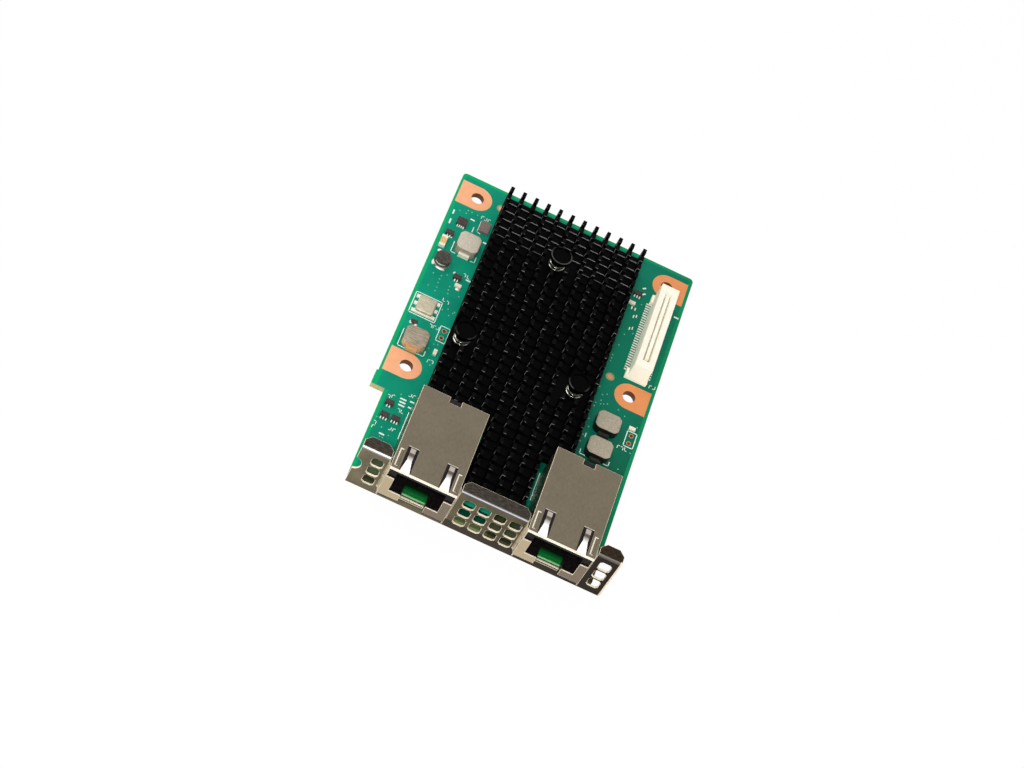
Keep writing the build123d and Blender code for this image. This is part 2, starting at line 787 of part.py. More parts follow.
sense_chip = right_spot(sense_chip_from_right, sense_chip_from_rear)
build_chips("regulator_chip", [spot(*regulator_at)], regulator_size, [(4, 4)], regulator_lead_pitch)
build_chips("guard_chips", [spot(*place) for place in guard_chips_at], small_chip_size,
            [(2, 2), (3, 3), (3, 3)], small_chip_lead_pitch)
build_chips("small_transistors", [spot(*diode_at), spot(*transistor_at), sense_chip], small_chip_size,
            [(2, 1), (2, 1), (3, 3)], small_chip_lead_pitch)

with BuildPart() as converter_chip:
    with Locations((*spot(*converter_at), board_top)):
        Box(*converter_size, align=BOTTOM)
save(converter_chip, "converter_chip")


def build_capacitors(name, placed, size):
    """Chip capacitors: ceramic bodies and metal ends. Each is turned to lie along X or Y."""
    length, width, height = size
    end = length * end_cap_share
    with BuildPart() as bodies:
        for x, y, turn in placed:
            with Locations(Location((x, y, board_top), (0, 0, turn))):
                Box(length - 2 * end, width, height, align=BOTTOM)
    save(bodies, name)
    with BuildPart() as ends:
        for x, y, turn in placed:
            with Locations(Location((x, y, board_top), (0, 0, turn))):
                with GridLocations(length - end, 0, 2, 1):
                    Box(end, width, height, align=BOTTOM)
    save(ends, f"{name}_ends")


small_capacitors = [
    (*spot(*left_capacitor_at), 0),
    (*spot(*filter_capacitor_at), 90),
    (*right_spot(side_capacitor_from_right, right_hole_from_rear + side_capacitor_from_hole), 0),
    (*right_spot(sense_capacitor_from_right, sense_capacitor_from_rear), 0),
]
build_capacitors("bulk_capacitor", [(*spot(*bulk_capacitor_at), 90)], bulk_capacitor_size)
build_capacitors("small_capacitors", small_capacitors, small_capacitor_size)
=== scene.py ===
import functools
import math

import bmesh
import bpy
from mathutils import Matrix, Quaternion, Vector


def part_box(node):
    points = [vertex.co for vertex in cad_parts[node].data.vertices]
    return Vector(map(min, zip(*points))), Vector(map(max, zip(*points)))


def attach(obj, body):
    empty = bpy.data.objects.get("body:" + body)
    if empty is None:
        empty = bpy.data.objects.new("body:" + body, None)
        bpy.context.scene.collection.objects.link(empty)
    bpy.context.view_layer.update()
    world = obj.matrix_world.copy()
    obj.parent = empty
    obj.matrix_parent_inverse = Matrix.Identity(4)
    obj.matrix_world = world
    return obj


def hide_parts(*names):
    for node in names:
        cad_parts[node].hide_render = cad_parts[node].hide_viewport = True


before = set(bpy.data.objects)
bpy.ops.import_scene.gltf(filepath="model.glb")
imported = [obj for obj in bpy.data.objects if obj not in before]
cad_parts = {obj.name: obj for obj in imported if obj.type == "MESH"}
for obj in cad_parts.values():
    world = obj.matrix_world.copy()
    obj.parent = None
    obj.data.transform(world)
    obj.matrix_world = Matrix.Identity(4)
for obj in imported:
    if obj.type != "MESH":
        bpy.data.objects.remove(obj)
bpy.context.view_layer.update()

MM = 0.001

# Places on the card, from the frame
TAB_REACH = 0.4 * MM
board_low, board_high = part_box("circuit_board")
board_left = board_low.x + TAB_REACH
board_right = board_high.x
board_front = board_low.y
board_rear = board_high.y
board_top = board_high.z
sink_low, sink_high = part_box("heatsink")
plate_low, plate_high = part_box("faceplate")
jack_boxes = [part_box(f"{side}_jack_shield") for side in ("left", "right")]
jack_middles = [(low.x + high.x) / 2 for low, high in jack_boxes]
jack_top = plate_high.z
jack_front = jack_boxes[0][0].y
jack_rear = jack_boxes[0][1].y
gap_left = jack_boxes[0][1].x
gap_right = jack_boxes[1][0].x

# Sizes in millimetres that the finishes follow
BOARD_THICKNESS = 1.6
LEFT_STEP = 2.95
STEP_LENGTH = 24.6
BARE_BORDER = 0.9
SHADE_BANDS = (1.3, 4.9, 6.6)  # where the shade behind the faceplate changes
HOLE_RADIUS = 1.6
HOLE_WALL = 2.0  # how far from its middle a hole is lined
HOLE_SPOTS = ((5.43, 5.94), (5.43, 61.3), (56.26, 5.94), (56.26, 42.05))
LATCH_HALF = 2.95  # half the channel for the plug's latch
CHANNEL_FLOOR = 0.66  # over the board
SINK_RIB_TOP = 1.9  # over the heatsink's underside
SHIELD_RIM = 0.6
FINGER_LENGTH = 6.8
FINGER_CUT = (3.2, 6.1)  # from the port's middle
FINGER_CUT_END = 8.0  # from the port's front
RIB_START = 1.0
RIB_LENGTH = 4.8
RIB_WIDTH = 0.75
RIB_EDGE = 0.725
CONNECTOR_WALL = 0.75
DRUM_FLANGE = 1.0
rib_lefts = [rib for low, high in jack_boxes
             for rib in (low.x + RIB_EDGE * MM, high.x - (RIB_EDGE + RIB_WIDTH) * MM)]

# Camera, fitted to the photograph
CAMERA_PLACE = Vector((-48.585, -345.97, 435.99)) * MM
CAMERA_AIM = Vector((-2.82, -4.8, 3.2)) * MM
CAMERA_ROLL = 30.892
CAMERA_LENS = 84.375

# Light: the sky's strength on the card, and how white the floor is where it is looked at
SKY_LIGHT = 0.5
FLOOR_WHITE = 0.97
FLOOR_SIZE = 4

# Edges of the sheet and moulded pieces, and the angles, in degrees, that tell them from flat faces
SHEET_EDGE = 0.09 * MM
MOULDED_EDGE = 0.14 * MM
PIN_EDGE = 0.06 * MM
COIL_ROUND = 0.45 * MM
MERGE_DISTANCE = 0.002 * MM
FLAT_ANGLE = 0.5
SHARP_ANGLE = 30
CREASE = 20
SHEET_CREASE = 4

# Springs under the push pins' heads
SPRING_WIRE = 0.21 * MM
SPRING_RADIUS = 1.88 * MM
SPRING_END = 1.1 * SPRING_WIRE
SPRING_TURNS = 3
SPRING_STEPS = 24

# White print on the board, as places from its left and rear edges: outlines, dashes and marks
PRINT_HEIGHT = 0.03
LINE_WIDTH = 0.2
DASH_WIDTH = 0.4
STROKE_WIDTH = 0.16
PRINT_LINES = (
    ((0.88, 40.1), (7.48, 40.1), (7.48, 46.6), (0.88, 46.6), (0.88, 40.1)),
    ((1.57, 51.8), (1.57, 56.9), (8.17, 56.9), (8.17, 55.4)),
    ((4.36, 21.4), (4.36, 24.7), (5.5, 24.7)),
    ((10.63, 23.2), (10.63, 24.95), (9.6, 24.95)),
    ((7.3, 14.9), (7.3, 16.4)),
    ((8.4, 12.2), (8.4, 15.6), (9.2, 15.9)),
    ((9.22, 46.4), (11.57, 46.4), (11.57, 51.0), (9.22, 51.0), (9.22, 46.4)),
    ((58.6, 51.3), (60.97, 51.3), (60.97, 55.8), (58.6, 55.8), (58.6, 51.3)),
    ((49.6, 57.2), (49.6, 58.2)),
    ((49.6, 62.0), (49.6, 63.2), (56.9, 63.2), (56.9, 62.0)),
    ((10.1, 73.2), (10.1, 81.0)),
    ((42.7, 73.2), (42.7, 81.0)),
)
PRINT_DASHES = (
    (1.34, 13.0, 0, 1), (1.42, 16.15, 0, 1.2), (3.29, 20.2, 0, 1), (6.35, 12.85, 0.7, 0),
    (11.14, 17.9, 0.6, 0), (11.02, 30.75, 0.9, 0), (60.9, 13.54, 0.8, 0), (7.8, 70.4, 1.1, 0),
    (7.85, 71.3, 1.1, 0), (7.9, 72.2, 1.1, 0), (10.0, 70.1, 0.9, 0), (10.0, 71.8, 0.7, 0),
    (6.3, 81.6, 0.9, 0), (51.2, 9.3, 0.4, 0.3), (51.4, 11.2, 0.7, 0.6),
)
PRINT_MARKS = (
    (8.33, 10.8), (9.2, 10.9), (10.1, 10.9), (9.7, 29.6), (10.7, 29.8), (7.0, 47.7), (7.85, 47.7),
    (8.7, 47.6), (9.68, 57.4), (10.5, 57.3), (7.5, 39.1), (8.5, 39.4), (60.3, 36.6), (61.2, 36.5),
    (57.7, 56.8), (58.6, 56.8), (59.5, 56.7), (4.5, 71.2), (5.4, 70.8), (8.9, 68.5), (9.8, 68.5),
    (7.8, 73.7), (8.6, 73.7), (3.9, 79.4), (3.9, 80.6), (7.6, 79.3), (8.5, 79.3),
)
UPRIGHT_STROKES = (((-0.25, -0.4), (-0.25, 0.4)), ((0.25, -0.4), (0.25, 0.4)))
LEVEL_STROKES = (((-0.25, 0.4), (0.25, 0.4)), ((-0.25, -0.4), (0.25, -0.4)))

# Plated holes, target marks, jumper pads and solder, as places from the same edges
VIAS = (
    (2.6, 11.8), (4.5, 10.7), (4.3, 11.8), (6.6, 13), (7, 10.8), (5.5, 10.7), (4.7, 32.7),
    (4.6, 33.9), (4.6, 35.1), (7.5, 34.7), (5.9, 31.8), (2.7, 33), (2.7, 37), (4.8, 36.5),
    (4.7, 37.7), (7.5, 35.8), (7.7, 36.9), (10.4, 36.3), (8, 42), (9.2, 41.1), (10.6, 41.7),
    (9.9, 42.8), (10.9, 41.2), (10.2, 52), (9.3, 52.3), (8.6, 54), (10.3, 58.3), (52.2, 23.9),
    (50.3, 25.2), (49.9, 28.9), (49.3, 32.4), (49.3, 33.5), (49.3, 34.4), (51.8, 14.4), (53, 16.9),
    (50.2, 44.8), (51.2, 44.1), (50.3, 46.5), (50.5, 47.5), (51.2, 47.2), (52, 46.7), (54.9, 46.9),
    (56.8, 47.9), (49.3, 47.7), (49.2, 48.8), (49.1, 52.9), (49.6, 55.1), (49, 57.8), (48.9, 59.9),
    (60.5, 49.4), (60.8, 57.1), (59.3, 62.8), (48.9, 42.9), (3.8, 77.8), (6.1, 82.4), (6.8, 82.4),
    (7.8, 81.2), (6.9, 69.4), (5.7, 79.9),
)
TARGETS = ((11.6, 5.7), (50.45, 38.9))
JUMPERS = ((10.37, 47.6), (10.35, 49.75), (59.77, 52.4), (59.75, 54.7))
TIN_PADS = ((50.95, 18.9), (51.6, 18.5), (50.95, 22.85), (51.6, 22.45), (49.85, 16.6),
            (50.75, 16.6))
TIN_PAD_REACH = 0.3
TIN_PAD_WIDTH = 0.3
TIN_PAD_HEIGHT = 0.05
SOLDER_BEADS = (
    (1.7, 29.9, 0.5, 0.9), (3.7, 31.0, 1.2, 0.4), (2.1, 26.0, 0.7, 0.5), (2.4, 49.2, 0.4, 0.5),
    (3.7, 49.6, 0.4, 0.5), (9.4, 34.6, 0.6, 0.4), (7.3, 30.4, 0.35, 0.35),
)
BEAD_HALF_HEIGHT = 0.3
BEAD_LIFT = 0.1

# A leaf spring's outline from above, out from the shield's wall and back from the faceplate,
# and the room left under and over it
LEAF_OUTLINE = ((0.0, -1.5), (0.28, -0.6), (0.34, 0.2), (0.28, 1.0), (0.0, 1.9),
                (0.0, 1.6), (0.16, 0.9), (0.21, 0.2), (0.16, -0.5), (0.0, -1.2))
LEAF_UNDER = 0.4
LEAF_OVER = 0.8

# A small sensor and the collars of the mounting holes
SENSOR_SPOT = (3.05, 48.9)
SENSOR_SIZE = (1.6, 1.1, 0.5)
SENSOR_EDGE = 0.1 * MM
COLLAR_SECTION = ((0, 0, 0), (0.2, 0, 0), (0.2, 0, 0.06), (0, 0, 0.06))
COLLAR_STEPS = 32


def srgb(red, green, blue):
    """A colour as it is seen, from 0 to 255, as the shader takes it."""
    return tuple((value / 255) ** 2.2 for value in (red, green, blue)) + (1,)


def spot(from_left, from_rear):
    """A point on the board's top, in millimetres from its left and rear edges."""
    return Vector((board_left + from_left * MM, board_rear - from_rear * MM, board_top))


def find_islands(mesh):
    """The boxes of a mesh's separate solids."""
    bm = bmesh.new()
    bm.from_mesh(mesh)
    bmesh.ops.remove_doubles(bm, verts=bm.verts, dist=MERGE_DISTANCE)
    left = set(bm.verts)
    boxes = []
    while left:
        reached = [left.pop()]
        for vert in reached:
            for edge in vert.link_edges:
                other = edge.other_vert(vert)
                if other in left:
                    left.remove(other)
                    reached.append(other)
        corners = list(zip(*[vert.co for vert in reached]))
        boxes.append((Vector(map(min, corners)), Vector(map(max, corners))))
    bm.free()
    return boxes


# The push pins, from front to rear
pin_boxes = sorted(find_islands(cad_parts["push_pins"].data), key=lambda box: box[0].y)


class Value:
    """A socket, with arithmetic: an expression adds its Math nodes."""

    def __init__(self, nodes, socket):
        self.nodes = nodes
        self.socket = socket

    def math(self, operation, first, second):
        return self.nodes.node("ShaderNodeMath", {"operation": operation}, (first, second))

    def __add__(self, other):
        return self.math("ADD", self, other)

    def __sub__(self, other):
        return self.math("SUBTRACT", self, other)

    def __rsub__(self, other):
        return self.math("SUBTRACT", other, self)

    def __mul__(self, other):
        return self.math("MULTIPLY", self, other)

    def __gt__(self, other):
        return self.math("GREATER_THAN", self, other)

    def __lt__(self, other):
        return self.math("LESS_THAN", self, other)

    __radd__ = __add__
    __rmul__ = __mul__

    def either(self, other):
        return self.math("MAXIMUM", self, other)

    def within(self, low, high):
        return (self > low) * (self < high)


def any_of(masks):
    """1 where any of the masks is 1."""
    return functools.reduce(Value.either, masks)


class Nodes:
    """The nodes of a material or of the world."""

    def __init__(self, tree):
        self.tree = tree

    def node(self, kind, settings, inputs, output=0):
        """Any node: its settings first, then the values or links of its sockets."""
        node = self.tree.nodes.new(kind)
        for name, value in settings.items():
            setattr(node, name, value)
        pairs = inputs.items() if isinstance(inputs, dict) else enumerate(inputs)
        for key, value in pairs:
            self.join(node.inputs[key], value)
        return Value(self, node.outputs[output])

    def join(self, socket, value):
        if isinstance(value, Value):
            self.tree.links.new(value.socket, socket)
        else:
            socket.default_value = value

    def looked_at(self):
        """1 where the camera, a reflection or a clear piece looks straight at it."""
        kinds = ("Is Camera Ray", "Is Glossy Ray", "Is Transmission Ray")
        return any_of(self.node("ShaderNodeLightPath", {}, {}, kind) for kind in kinds)


class Finish(Nodes):
    """A material: a shader with constant values, and nodes that vary it over the object."""

    def __init__(self, name, constants):
        self.material = bpy.data.materials.new(name)
        self.material.use_nodes = True
        super().__init__(self.material.node_tree)
        self.shader = self.tree.nodes["Principled BSDF"]
        for socket, value in constants.items():
            self.shader.inputs[socket].default_value = value

    def set(self, socket, value):
        self.join(self.shader.inputs[socket], value)

    def coordinates(self, stretch=(1, 1, 1)):
        place = self.node("ShaderNodeTexCoord", {}, {}, "Object")
        return self.node("ShaderNodeVectorMath", {"operation": "MULTIPLY"}, (place, stretch))

    def split(self, vector):
        return [self.node("ShaderNodeSeparateXYZ", {}, (vector,), axis) for axis in "XYZ"]

    def axes(self):
        """The object's x, y and z."""
        return self.split(self.coordinates())

    def facing(self):
        """The three parts of the direction that the surface faces."""
        return self.split(self.node("ShaderNodeNewGeometry", {}, {}, "True Normal"))

    def distance(self, vector, point):
        settings = {"operation": "DISTANCE"}
        return self.node("ShaderNodeVectorMath", settings, (vector, point), "Value")

    def noise(self, grain, detail=3.0, stretch=(1, 1, 1)):
        """Even noise from 0 to 1, with patches about one grain across, in millimetres."""
        inputs = {"Vector": self.coordinates(stretch), "Scale": 1 / (grain * MM), "Detail": detail}
        return self.node("ShaderNodeTexNoise", {}, inputs)

    def between(self, value, low, high):
        """Stretches a value so that low to high becomes 0 to 1."""
        inputs = {"Value": value, "From Min": low, "From Max": high}
        return self.node("ShaderNodeMapRange", {}, inputs)

    def patches(self, noise):
        """Noise with its middle range spread over 0 to 1."""
        return self.between(noise, 0.3, 0.7)

    def mix(self, first, second, share):
        inputs = {0: share, 6: first, 7: second}
        return self.node("ShaderNodeMix", {"data_type": "RGBA"}, inputs, 2)

    def bump(self, height, depth):
        """Raises the surface by a height from 0 to 1 of a depth in millimetres."""
        inputs = {"Height": height, "Distance": depth * MM}
        self.set("Normal", self.node("ShaderNodeBump", {}, inputs))


def latch_channels(x):
    """1 across the middle of each port, as wide as the channel for the plug's latch."""
    half = LATCH_HALF * MM
    return any_of(x.within(middle - half, middle + half) for middle in jack_middles)


def mottled(name, dark, light, grain, roughness, depth=0.0, metallic=0.0, shine=0.3):
    """A plain finish: two close colours in patches, with uneven gloss and a little relief."""
    finish = Finish(name, {"Metallic": metallic, "Specular IOR Level": shine})
    patches = finish.patches(finish.noise(grain))
    finish.set("Base Color", finish.mix(srgb(*dark), srgb(*light), patches))
    fine = finish.noise(grain / 4)
    finish.set("Roughness", fine * 0.25 + (roughness - 0.125))
    if depth:
        finish.bump(fine, depth)
    return finish


def make_solder_mask():
    """Green solder mask with a paler bare border, raw laminate at its cut fronts and copper in the
    holes. Its top carries painted light and shade: paler to the left, shaded behind the faceplate
    and in part between the ports, lit past the shade, with a painted reflection in each latch
    channel."""
    finish = Finish("solder_mask", {"Specular IOR Level": 0.12})
    place = finish.coordinates()
    x, y, _ = finish.split(place)
    _, ahead, upright = finish.facing()
    topside = upright > 0.5
    side = upright.within(-0.5, 0.5)
    # Paler to the left and darker to the right, darkest at the front right: painted light falling
    # from the left.
    across = finish.between(x, board_left, board_right)
    left_back = finish.between(y, -2 * MM, -16 * MM)
    right_back = finish.between(y, 8 * MM, -14 * MM)
    left_tone = finish.mix(srgb(0, 152, 120), srgb(0, 146, 115), left_back)
    right_tone = finish.mix(srgb(0, 110, 84), srgb(0, 90, 66), right_back)
    green = finish.mix(left_tone, right_tone, across)
    patches = finish.between(finish.noise(7.0, 3.0), 0.4, 0.62)
    green = finish.mix(green, srgb(0, 112, 92), patches * 0.35)

    gap_middle = (gap_left + gap_right) / 2 + 0.5 * MM
    # Where the painted shade behind the faceplate is browner and darker: right of the middle of the
    # gap between the ports, and left of the left port.
    brown = finish.between(x, gap_middle, gap_middle + 1.5 * MM).either(x < gap_left)
    near, deep, deepest = (board_front + depth * MM for depth in SHADE_BANDS)
    # Between the ports' rear halves: painted light on the board right of the gap's middle, painted
    # shadow left of it.
    alley = y.within(deepest, jack_rear) * topside
    green = finish.mix(green, srgb(4, 138, 104), alley * x.within(gap_middle, gap_right))
    green = finish.mix(green, srgb(2, 18, 12), alley * x.within(gap_left, gap_middle))
    # Painted shade on the top behind the faceplate, in bands back from its front edge; past it a
    # band of painted light, still dark where browner.
    step = board_left + LEFT_STEP * MM
    shown = topside * (x > step + 2.2 * MM)
    shade_at_plate = finish.mix(srgb(84, 96, 60), srgb(40, 44, 26), brown)
    green = finish.mix(green, shade_at_plate, y.within(board_front, near) * shown)
    shade_behind_plate = finish.mix(srgb(8, 58, 38), srgb(78, 72, 48), brown)
    green = finish.mix(green, shade_behind_plate, y.within(near, deep) * shown * 0.85)
    light_beyond = finish.mix(srgb(44, 176, 136), srgb(66, 78, 54), brown)
    green = finish.mix(green, light_beyond, y.within(deep, deepest) * (x < gap_right) * shown)

    border = BARE_BORDER * MM
    edge = any_of((
        x < board_left + border,
        (x > board_right - border) * (y > deepest),
        y > board_rear - border,
        (x < step + border) * (y < board_front + STEP_LENGTH * MM),
    ))
    # The border too is paler to the left: painted light.
    green = finish.mix(green, finish.mix(srgb(0, 166, 106), srgb(0, 132, 88), across), edge)
    green = finish.mix(green, srgb(20, 176, 108), side)
    raw = side * (ahead < -0.5)
    notch = step + 0.2 * MM
    green = finish.mix(green, srgb(200, 184, 134), raw * (x < notch))
    # The raw front edge is darker where the shade is browner: painted shade.
    laminate = finish.mix(srgb(106, 118, 76), srgb(52, 54, 34), brown)
    green = finish.mix(green, laminate, raw * (x > notch))
    half_depth = Vector((0, 0, BOARD_THICKNESS / 2 * MM))
    holes = any_of(finish.distance(place, spot(*hole) - half_depth) < HOLE_WALL * MM
                   for hole in HOLE_SPOTS)
    green = finish.mix(green, srgb(122, 78, 50), side * holes)

    channel = latch_channels(x) * topside
    green = finish.mix(green, srgb(14, 128, 48), channel * (y < board_front + 5 * MM))
    # A painted reflection along the front of each latch channel.
    reflection_streak = y.within(board_front + 0.15 * MM, board_front + 0.6 * MM)
    green = finish.mix(green, srgb(190, 240, 190), reflection_streak * channel * 0.8)
    finish.set("Base Color", green)
    weave = finish.noise(0.6, 2.0)
    finish.set("Roughness", weave * 0.2 + 0.3)
    finish.bump(weave, 0.02)
    return finish


def make_bare_copper():
    """Bare copper, stained in patches: pale at the left, darker orange towards the connector's
    side.
    """
    finish = Finish("bare_copper", {"Metallic": 0.25, "Specular IOR Level": 0.3})
    x, _, _ = finish.axes()
    across = finish.between(x, board_left, board_right)
    stain = finish.noise(1.6, 4.0)
    tint = finish.mix(srgb(255, 188, 142), srgb(228, 146, 88), across)
    finish.set("Base Color", finish.mix(tint, srgb(214, 124, 74), stain * 0.4))
    finish.set("Roughness", stain * 0.3 + 0.35)
    finish.bump(stain, 0.01)
    return finish


def make_black_anodised():
    """Black anodising with painted highlights: pale lines on the rear ribs' edges, glints on the
    pins' tips, and streaks down the corners of the pins."""
    finish = Finish("black_anodised", {"Specular IOR Level": 0.05})
    _, y, z = finish.axes()
    sideways, ahead, _ = finish.facing()
    front = ahead < -0.3
    grain = finish.noise(0.8)
    black = finish.mix(srgb(2, 2, 3), srgb(12, 12, 13), finish.patches(grain))
    # Painted highlights where edges catch the light: lines on the rear ribs' top edges, glints on
    # the pins' tips and streaks down their left front corners.
    rib_top = sink_low.z + SINK_RIB_TOP * MM
    lines = z.within(rib_top - 0.2 * MM, rib_top + 0.02 * MM) * front
    rear_rows = finish.between(y, sink_high.y - 13 * MM, sink_high.y - 11.2 * MM)
    tips = (z > sink_high.z - 0.12 * MM) * front
    glints = finish.between(finish.noise(1.1, 1.0), 0.5, 0.66)
    corners = front * (sideways < -0.5) * (z > sink_high.z - 1.7 * MM)
    streaks = finish.between(finish.noise(1.3, 1.0, (1, 1, 0.3)), 0.46, 0.58)
    painted_highlights = any_of((lines * rear_rows * 0.7, tips * glints * 0.55, corners * streaks * 0.6))
    finish.set("Base Color", finish.mix(black, srgb(176, 176, 176), painted_highlights))
    finish.set("Roughness", grain * 0.2 + 0.45)
    finish.bump(grain, 0.01)
    return finish


def make_black_nylon():
    """Black nylon with a painted highlight on each head's rim, all round the rear one and towards
    the front on the others."""
    finish = Finish("black_nylon", {"Specular IOR Level": 0.025})
    _, y, z = finish.axes()
    grain = finish.noise(0.6)
    black = finish.mix(srgb(2, 2, 2), srgb(9, 9, 8), finish.patches(grain))
    head_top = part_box("push_pins")[1].z
    # A painted highlight on the top of each head's rim, all round the rear head and towards the
    # front on the others.
    rim = (z > head_top - 0.05 * MM) * finish.between(finish.noise(2.2, 1.0), 0.42, 0.6)
    rim_highlight = y > pin_boxes[-1][0].y
    for low, high in pin_boxes[:-1]:
        middle = (low.y + high.y) / 2
        towards_front = finish.between(y, middle + 0.4 * MM, middle - 1.6 * MM)
        rim_highlight = rim_highlight.either(towards_front * y.within(low.y, high.y))
    finish.set("Base Color", finish.mix(black, srgb(74, 74, 72), rim * rim_highlight))
    finish.set("Roughness", grain * 0.2 + 0.25)
    return finish


def make_shield_nickel():
    """Satin nickel with painted light and shade: highlights on the lip and the ribs' bends, front
    faces lit on the left of each port, and fingers lit towards the front and shaded towards the
    rear."""
    finish = Finish("shield_nickel", {"Specular IOR Level": 0.4})
    x, y, z = finish.axes()
    _, ahead, upright = finish.facing()
    front = ahead < -0.6
    flat = upright > 0.9
    grain = finish.noise(0.25, 4.0, (1, 0.25, 1))
    clouds = finish.noise(6.0, 2.0)
    tone = finish.between(grain * 0.7 + clouds * 0.3, 0.35, 0.65)
    nickel = finish.mix(srgb(110, 101, 86), srgb(122, 112, 96), tone)
    # Front faces painted lighter than the top: lit on the left half of each port, shaded on the
    # right half.
    right_ear = any_of(x.within(middle, high.x + MM)
                       for middle, (_, high) in zip(jack_middles, jack_boxes))
    ears = finish.mix(srgb(190, 174, 142), srgb(132, 118, 102), right_ear)
    nickel = finish.mix(nickel, ears, front)

    # Painted highlights along the front rim, the front of the top and the ribs' bends.
    rib_rear = jack_front + (RIB_START + RIB_LENGTH) * MM
    on_rib = y.within(rib_rear - RIB_LENGTH * MM, rib_rear + 0.1 * MM)
    rib_end = y.within(rib_rear - 0.3 * MM, rib_rear + 0.1 * MM)
    bends = any_of((x.within(rib - 0.1 * MM, rib + 0.16 * MM) * on_rib).either(
        x.within(rib, rib + RIB_WIDTH * MM) * rib_end) for rib in rib_lefts)
    lip = any_of((
        front * (z > jack_top - (SHIELD_RIM + 0.02) * MM),
        flat * (y < jack_front + 0.3 * MM),
        bends * flat * (z > jack_top - 0.1 * MM) * 0.8,
    ))
    nickel = finish.mix(nickel, srgb(255, 250, 232), lip)

    # Painted light and shade on the fingers: white towards the front, darkening towards the rear;
    # faces that slope back are painted light grey.
    raised = ahead.within(-0.3, -0.05) * flat
    lit_end, dark_start = (jack_front + share * FINGER_LENGTH * MM for share in (0.45, 0.68))
    along = finish.between(y, lit_end, dark_start)
    fingers = finish.mix(srgb(255, 252, 246), srgb(100, 89, 79), along)
    nickel = finish.mix(nickel, fingers, raised)
    nickel = finish.mix(nickel, srgb(184, 175, 165), ahead.within(0.1, 0.3) * flat)
    finish.set("Base Color", nickel)
    lit = lip.either(raised * (1 - along))
    finish.set("Metallic", 0.85 - lit * 0.75)
    upstanding = upright.within(-0.4, 0.4) * (1 - front)
    finish.set("Roughness", grain * 0.1 + (0.42 - upstanding * 0.2))
    finish.bump(grain, 0.006)
    return finish


def make_plate_nickel():
    """Bright nickel with stains, darker low down, and painted light and shade: darker to the right,
    dark on top, white along the fold, cream in every cut edge and down the right end, a pale sill
    and a shadow under each port."""
    finish = Finish("plate_nickel", {"Specular IOR Level": 0.4})
    x, _, z = finish.axes()
    _, ahead, upright = finish.facing()
    clouds = finish.noise(3.0, 3.0)
    grain = finish.noise(0.3, 3.0, (0.3, 1, 1))
    # Darker to the right: painted shade, away from the light at the left.
    left_end = finish.between(x, plate_low.x, 4 * MM)
    right_end = finish.between(x, 6 * MM, plate_high.x - 4 * MM)
    sheet = finish.mix(srgb(124, 114, 88), srgb(95, 84, 60), left_end)
    sheet = finish.mix(sheet, srgb(34, 23, 8), right_end)
    low_strip = (z < board_top - 0.3 * MM) * (x > gap_left)
    sheet = finish.mix(sheet, srgb(44, 31, 18), low_strip * 0.85)
    stain = finish.between(clouds + grain * 0.3, 0.4, 0.9)
    sheet = finish.mix(sheet, srgb(40, 34, 26), stain * 0.5)
    # Cut edges painted cream: a painted highlight where the sheet's cut walls catch the light.
    cut = ahead.within(-0.5, 0.5) * (z < jack_top - 0.75 * MM)
    sheet = finish.mix(sheet, srgb(250, 238, 212), cut)

    # The flat top: brushed grain, painted dark for the dark it reflects, browner to the right.
    top = (upright > 0.9) * (z > jack_top - 0.4 * MM)
    brushed_dark_reflection = finish.mix(srgb(46, 41, 36), srgb(78, 71, 62), finish.between(grain, 0.4, 0.7))
    sheet = finish.mix(sheet, finish.mix(brushed_dark_reflection, srgb(44, 30, 12), right_end * 0.5), top)
    # Painted highlight along the fold: grey over the bend and a white line along it, dimmer to the
    # right and tan at the right end.
    fold = upright.within(0.12, 0.9) * (z > jack_top - 1.0 * MM)
    across = finish.between(x, -20 * MM, -6 * MM)
    sheet = finish.mix(sheet, finish.mix(srgb(150, 148, 144), srgb(96, 92, 88), across), fold)
    line = finish.mix(srgb(252, 252, 252), srgb(186, 188, 198), across)
    line = finish.mix(line, srgb(110, 100, 84), x > 26 * MM)
    sheet = finish.mix(sheet, line, upright.within(0.5, 0.76) * fold)

    # Under each port, a pale line painted as the lit top of a sill, with painted shadow under it.
    under_port = latch_channels(x) * (ahead < -0.9) * 0.7
    sill = z.within(board_top - 0.95 * MM, board_top - 0.65 * MM)
    shadow_under_sill = z.within(board_top - 1.4 * MM, board_top - 0.95 * MM)
    sheet = finish.mix(sheet, srgb(226, 210, 178), sill * under_port)
    sheet = finish.mix(sheet, srgb(26, 20, 14), shadow_under_sill * under_port)
    # A painted highlight down the right end's edge.
    right_edge_highlight = (x > plate_high.x - 0.4 * MM) * (ahead < -0.3)
    sheet = finish.mix(sheet, srgb(236, 216, 184), right_edge_highlight)
    finish.set("Base Color", sheet)
    pale = cut.either(right_edge_highlight)
    finish.set("Metallic", 0.6 - pale * 0.55 + right_end * (1 - pale) * 0.3)
    finish.set("Roughness", grain * 0.2 + 0.25)
    finish.bump(grain, 0.006)
    return finish


